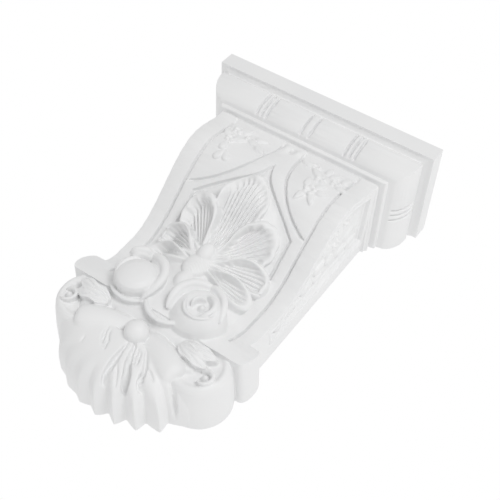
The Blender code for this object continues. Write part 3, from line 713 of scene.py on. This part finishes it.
def white_cast():
    """Matt white primer over a cast skin: a faint mottle, a fine grain and softly varied gloss."""
    material = bpy.data.materials.new("white_cast")
    material.use_nodes = True
    start = Socket(material.node_tree)
    place = start.node("ShaderNodeTexCoord", output="Object")
    mottle = start.node("ShaderNodeTexNoise", Vector=place, Scale=MOTTLE_SCALE, Detail=3.0)
    grain = start.node("ShaderNodeTexNoise", Vector=place, Scale=GRAIN_SCALE, Detail=2.0)
    tone = start.node("ShaderNodeMix", {"data_type": "RGBA"}, 2,
                      _0=mottle, _6=DULL_WHITE, _7=CLEAN_WHITE)
    bump = start.node("ShaderNodeBump", Strength=0.12, Distance=GRAIN_DEPTH, Height=grain)
    start.feed(material.node_tree.nodes["Principled BSDF"], Base_Color=tone, Metallic=0.0,
               Roughness=0.5 + 0.16 * mottle, Normal=bump)
    return material


finish = white_cast()


def spray_tree(name, form):
    """A node tree that stands a form on each point, by its rotation and size."""
    tree = bpy.data.node_groups.new(name, "GeometryNodeTree")
    identifiers = {}
    for label, kind in (("Geometry", "Geometry"), ("Overall Size", "Float"), ("Finish", "Material")):
        entry = tree.interface.new_socket(label, in_out="INPUT", socket_type="NodeSocket" + kind)
        identifiers[label] = entry.identifier
    tree.interface.new_socket("Geometry", in_out="OUTPUT", socket_type="NodeSocketGeometry")
    start = Socket(tree)
    points = start.node("NodeGroupInput", output="Geometry")
    overall = start.node("NodeGroupInput", output="Overall Size")
    paint = start.node("NodeGroupInput", output="Finish")
    shape = start.node("GeometryNodeObjectInfo", output="Geometry", Object=form)
    reader = "GeometryNodeInputNamedAttribute"
    rotation = start.node(reader, {"data_type": "FLOAT_VECTOR"}, "Attribute", Name="spray_rotation")
    size = start.node(reader, {"data_type": "FLOAT"}, "Attribute", Name="spray_size")
    stands = start.node("GeometryNodeInstanceOnPoints", Points=points, Instance=shape,
                        Rotation=rotation, Scale=size * overall)
    real = start.node("GeometryNodeRealizeInstances", Geometry=stands)
    painted = start.node("GeometryNodeSetMaterial", Geometry=real, Material=paint)
    start.node("NodeGroupOutput", Geometry=painted)
    return tree, identifiers


def template(name, rings):
    """A small form on its own origin, 1 mm in size, through rings of (across, along, height)."""
    count = len(rings[0])
    corners = [corner for ring in rings for corner in ring]
    faces = [list(range(count))[::-1], list(range(len(corners) - count, len(corners)))]
    for i in range(len(rings) - 1):
        for j in range(count):
            k = (j + 1) % count
            faces.append([i * count + j, i * count + k, (i + 1) * count + k, (i + 1) * count + j])
    data = bpy.data.meshes.new(name)
    data.from_pydata([[value * MM for value in corner] for corner in corners], [], faces)
    return bpy.data.objects.new(name, data)


def blossom_rings():
    """Five round petals, each a little dome, about a sunk eye."""
    rings = []
    for scale, dome in ((0.9, -1.6), (1.0, 0.0), (0.93, 0.55), (0.78, 0.9), (0.58, 1.0),
                        (0.40, 0.6), (0.28, 0.15), (0.18, 0.1), (0.05, 0.0)):
        ring = []
        for i in range(60):
            turn = 2.0 * math.pi * i / 60.0
            petal_share = abs(math.cos(2.5 * turn)) ** 0.6
            reach = scale * (1.0 - 0.42 * (1.0 - petal_share) * min(1.0, scale * 1.2))
            height = 0.4 * dome * (0.25 + 0.75 * petal_share) if dome > 0.0 else 0.4 * dome
            ring.append((reach * math.cos(turn), reach * math.sin(turn), height))
        rings.append(ring)
    return rings


def spray_leaf_rings():
    """A pointed leaf with a round back and a crease down the middle."""
    rings = []
    for scale, dome in ((0.95, -1.0), (1.0, 0.0), (0.93, 0.45), (0.78, 0.75), (0.55, 0.95),
                        (0.3, 1.0), (0.1, 0.85)):
        ring = []
        for i in range(40):
            turn = 2.0 * math.pi * i / 40.0
            across = 0.5 * math.sin(turn) * (1.0 - 0.45 * math.cos(turn)) * scale
            ring.append((math.cos(turn) * scale, across, 0.3 * dome))
        rings.append(ring)
    return rings


def front_place(x, z):
    """Place and normal of a point on the front."""
    slope = float(front_depth(np.array(z + 0.5)) - front_depth(np.array(z - 0.5)))
    length = math.hypot(1.0, slope)
    place = (x, float(front_depth(np.array(z))) - 0.2, z)
    return place, (0.0, 1.0 / length, -slope / length)


def flank_place(side, depth, z):
    """Place and normal of a point in the sunk field of a flank."""
    return (side * (BODY_HALF_WIDTH - FLANK_DROP + 0.3), depth, z), (side, 0.0, 0.0)


def set_spray(name, form, stands):
    """Stands a form at each (place, normal, turn, size) and keeps the result as a plain mesh."""
    tree, identifiers = spray_tree(name + "_tree", form)
    data = bpy.data.meshes.new(name)
    data.from_pydata([(x * MM, -depth * MM, z * MM) for (x, depth, z), _, _, _ in stands], [], [])
    rotations = []
    for _, normal, turn, _ in stands:
        outward = Vector((normal[0], -normal[1], normal[2]))
        level = Vector((0.0, -1.0, 0.0)) if abs(normal[0]) > 0.5 else Vector((1.0, 0.0, 0.0))
        rising = Vector((0.0, 0.0, 1.0)) - outward * outward.z
        turned = math.radians(turn)
        heading = level * math.cos(turned) + rising.normalized() * math.sin(turned)
        basis = Matrix((heading, outward.cross(heading), outward)).transposed()
        rotations.extend(basis.to_euler())
    sizes = [size for _, _, _, size in stands]
    data.attributes.new("spray_rotation", "FLOAT_VECTOR", "POINT").data.foreach_set("vector", rotations)
    data.attributes.new("spray_size", "FLOAT", "POINT").data.foreach_set("value", sizes)
    points = bpy.data.objects.new(name, data)
    bpy.context.scene.collection.objects.link(points)
    modifier = points.modifiers.new(name, "NODES")
    modifier.node_group = tree
    modifier[identifiers["Overall Size"]] = 1.0
    modifier[identifiers["Finish"]] = finish
    bpy.context.view_layer.update()
    graph = bpy.context.evaluated_depsgraph_get()
    real = bpy.data.meshes.new_from_object(points.evaluated_get(graph))
    points.modifiers.clear()
    points.data = real
    forms.append(points)


blossoms = [(*front_place(x, z), 20.0, size) for x, z, size in SPANDREL_BLOSSOMS]
leaves = [(*front_place(x, z), turn, size) for x, z, turn, size in SPANDREL_LEAVES]
for side in (1.0, -1.0):
    blossoms += [(*flank_place(side, depth, z), 10.0, size) for depth, z, size in FLANK_BLOSSOMS]
    leaves += [(*flank_place(side, depth, z), turn, size) for depth, z, turn, size in FLANK_LEAVES]
set_spray("blossoms", template("blossom_form", blossom_rings()), blossoms)
set_spray("spray_leaves", template("leaf_form", spray_leaf_rings()), leaves)

# The casting: all the forms above united into the one piece that hangs on the wall, in cast
# foam with a hard skin under matt white primer. Its back and its top are struck off flat.
MOST_TRIANGLES = 196000
SKIN_ROUNDS = 2
FLAT_MARGIN = 0.25
HAIRLINE = 0.01
CRUMB_CORNERS = 60
SHARP_ANGLE = 50.0


def struck_off(piece):
    """Brings the back, top and sides onto the frame's planes, and keeps the piece in its box."""
    count = len(piece.data.vertices)
    places = np.zeros(count * 3)
    piece.data.vertices.foreach_get("co", places)
    places = places.reshape(-1, 3)
    for axis in range(3):
        for plane in (low[axis], high[axis]):
            near = np.abs(places[:, axis] - plane) < FLAT_MARGIN * MM
            places[near, axis] = plane
        places[:, axis] = np.clip(places[:, axis], low[axis], high[axis])
    piece.data.vertices.foreach_set("co", places.ravel())
    piece.data.update()


def thinned(piece, most):
    """Fewer triangles where the skin is flat."""
    count = sum(len(face.vertices) - 2 for face in piece.data.polygons)
    if count > most:
        fewer = piece.modifiers.new("fewer", "DECIMATE")
        fewer.ratio = most / count
        graph = bpy.context.evaluated_depsgraph_get()
        data = bpy.data.meshes.new_from_object(piece.evaluated_get(graph))
        piece.modifiers.clear()
        piece.data = data


def mended(piece):
    """Merges hairline doubles, takes away slivers without area, and drops loose crumbs."""
    skin = bmesh.new()
    skin.from_mesh(piece.data)
    bmesh.ops.remove_doubles(skin, verts=skin.verts, dist=HAIRLINE * MM)
    bmesh.ops.dissolve_degenerate(skin, edges=skin.edges, dist=HAIRLINE * MM)
    bmesh.ops.triangulate(skin, faces=skin.faces)
    seen = set()
    crumbs = []
    for start in skin.verts:
        if start in seen:
            continue
        seen.add(start)
        island = [start]
        for corner in island:
            for edge in corner.link_edges:
                other = edge.other_vert(corner)
                if other not in seen:
                    seen.add(other)
                    island.append(other)
        if len(island) < CRUMB_CORNERS:
            crumbs.extend(island)
    bmesh.ops.delete(skin, geom=crumbs, context="VERTS")
    skin.to_mesh(piece.data)
    skin.free()
    piece.data.update()


casting = united("bracket_casting", forms, VOXEL, SKIN_ROUNDS)
struck_off(casting)
mended(casting)
thinned(casting, MOST_TRIANGLES)
struck_off(casting)
mended(casting)
casting.data.polygons.foreach_set("use_smooth", [True] * len(casting.data.polygons))
casting.data.set_sharp_from_angle(angle=math.radians(SHARP_ANGLE))
casting.data.materials.clear()
casting.data.materials.append(finish)
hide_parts("console_bracket")
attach(casting, "root")

# The stage: a pale ground behind the flat back, as the bracket lies on a white table, with a
# soft even room round it, a broad lamp from the upper right of the picture, and a faint one
# from its lower left.
GROUND_HALF = 3.0
GROUND_GAP = 0.001
PURE_WHITE = (1.0, 1.0, 1.0, 1.0)
ROOM_STRENGTH = 0.57
KEY_PLACE = (0.9, -1.7, 0.0)
KEY_AIM = (0.0, -0.03, -0.02)
KEY_SIZE = 0.7
KEY_POWER = 12.5
FILL_PLACE = (-0.3, -1.1, -1.6)
FILL_AIM = (0.0, -0.03, -0.05)
FILL_SIZE = 1.0
FILL_POWER = 1.6

pale_ground = bpy.data.materials.new("pale_ground")
pale_ground.use_nodes = True
pale_nodes = pale_ground.node_tree.nodes
pale_nodes.remove(pale_nodes["Principled BSDF"])
start = Socket(pale_ground.node_tree)
even_light = start.node("ShaderNodeEmission", Color=PURE_WHITE, Strength=1.0)
start.feed(pale_nodes["Material Output"], Surface=even_light)

ground_data = bpy.data.meshes.new("ground")
ground_corners = [(x * GROUND_HALF, GROUND_GAP, z * GROUND_HALF)
                  for x, z in ((-1, -1), (1, -1), (1, 1), (-1, 1))]
ground_data.from_pydata(ground_corners, [], [(0, 1, 2, 3)])
ground_data.materials.append(pale_ground)
ground = bpy.data.objects.new("ground", ground_data)
bpy.context.scene.collection.objects.link(ground)

world = bpy.data.worlds.new("soft_room")
bpy.context.scene.world = world
world.use_nodes = True
sky = Socket(world.node_tree)
sky.feed(world.node_tree.nodes["Background"], Color=PURE_WHITE, Strength=ROOM_STRENGTH)


def lamp(name, place, aim, size, power):
    """A round lamp that looks at a place."""
    data = bpy.data.lights.new(name, "AREA")
    data.shape = "DISK"
    data.size = size
    data.energy = power
    light = bpy.data.objects.new(name, data)
    light.location = place
    light.rotation_euler = (Vector(aim) - Vector(place)).to_track_quat("-Z", "Y").to_euler()
    bpy.context.scene.collection.objects.link(light)


lamp("key", KEY_PLACE, KEY_AIM, KEY_SIZE, KEY_POWER)
lamp("fill", FILL_PLACE, FILL_AIM, FILL_SIZE, FILL_POWER)

# The camera stands where the photograph was taken from, below and to the right of the bracket,
# and is turned so that the cap points to the upper right of the picture.
CAMERA_PLACE = Vector((0.2180, -0.4504, -0.3248))
CAMERA_ROWS = ((0.81824, -0.44532, 0.36355),
               (-0.03221, -0.66692, -0.74443),
               (0.57397, 0.59742, -0.56004))
FOCAL_SHARE = 1.86087
SENSOR_WIDTH = 36.0
camera_data = bpy.data.cameras.new("camera")
camera_data.sensor_width = SENSOR_WIDTH
camera_data.lens = SENSOR_WIDTH * FOCAL_SHARE
camera_data.clip_start = 0.01
camera = bpy.data.objects.new("camera", camera_data)
camera.matrix_world = Matrix.Translation(CAMERA_PLACE) @ Matrix(CAMERA_ROWS).to_4x4()
bpy.context.scene.collection.objects.link(camera)
bpy.context.scene.camera = camera
bpy.context.scene.view_settings.view_transform = "Standard"
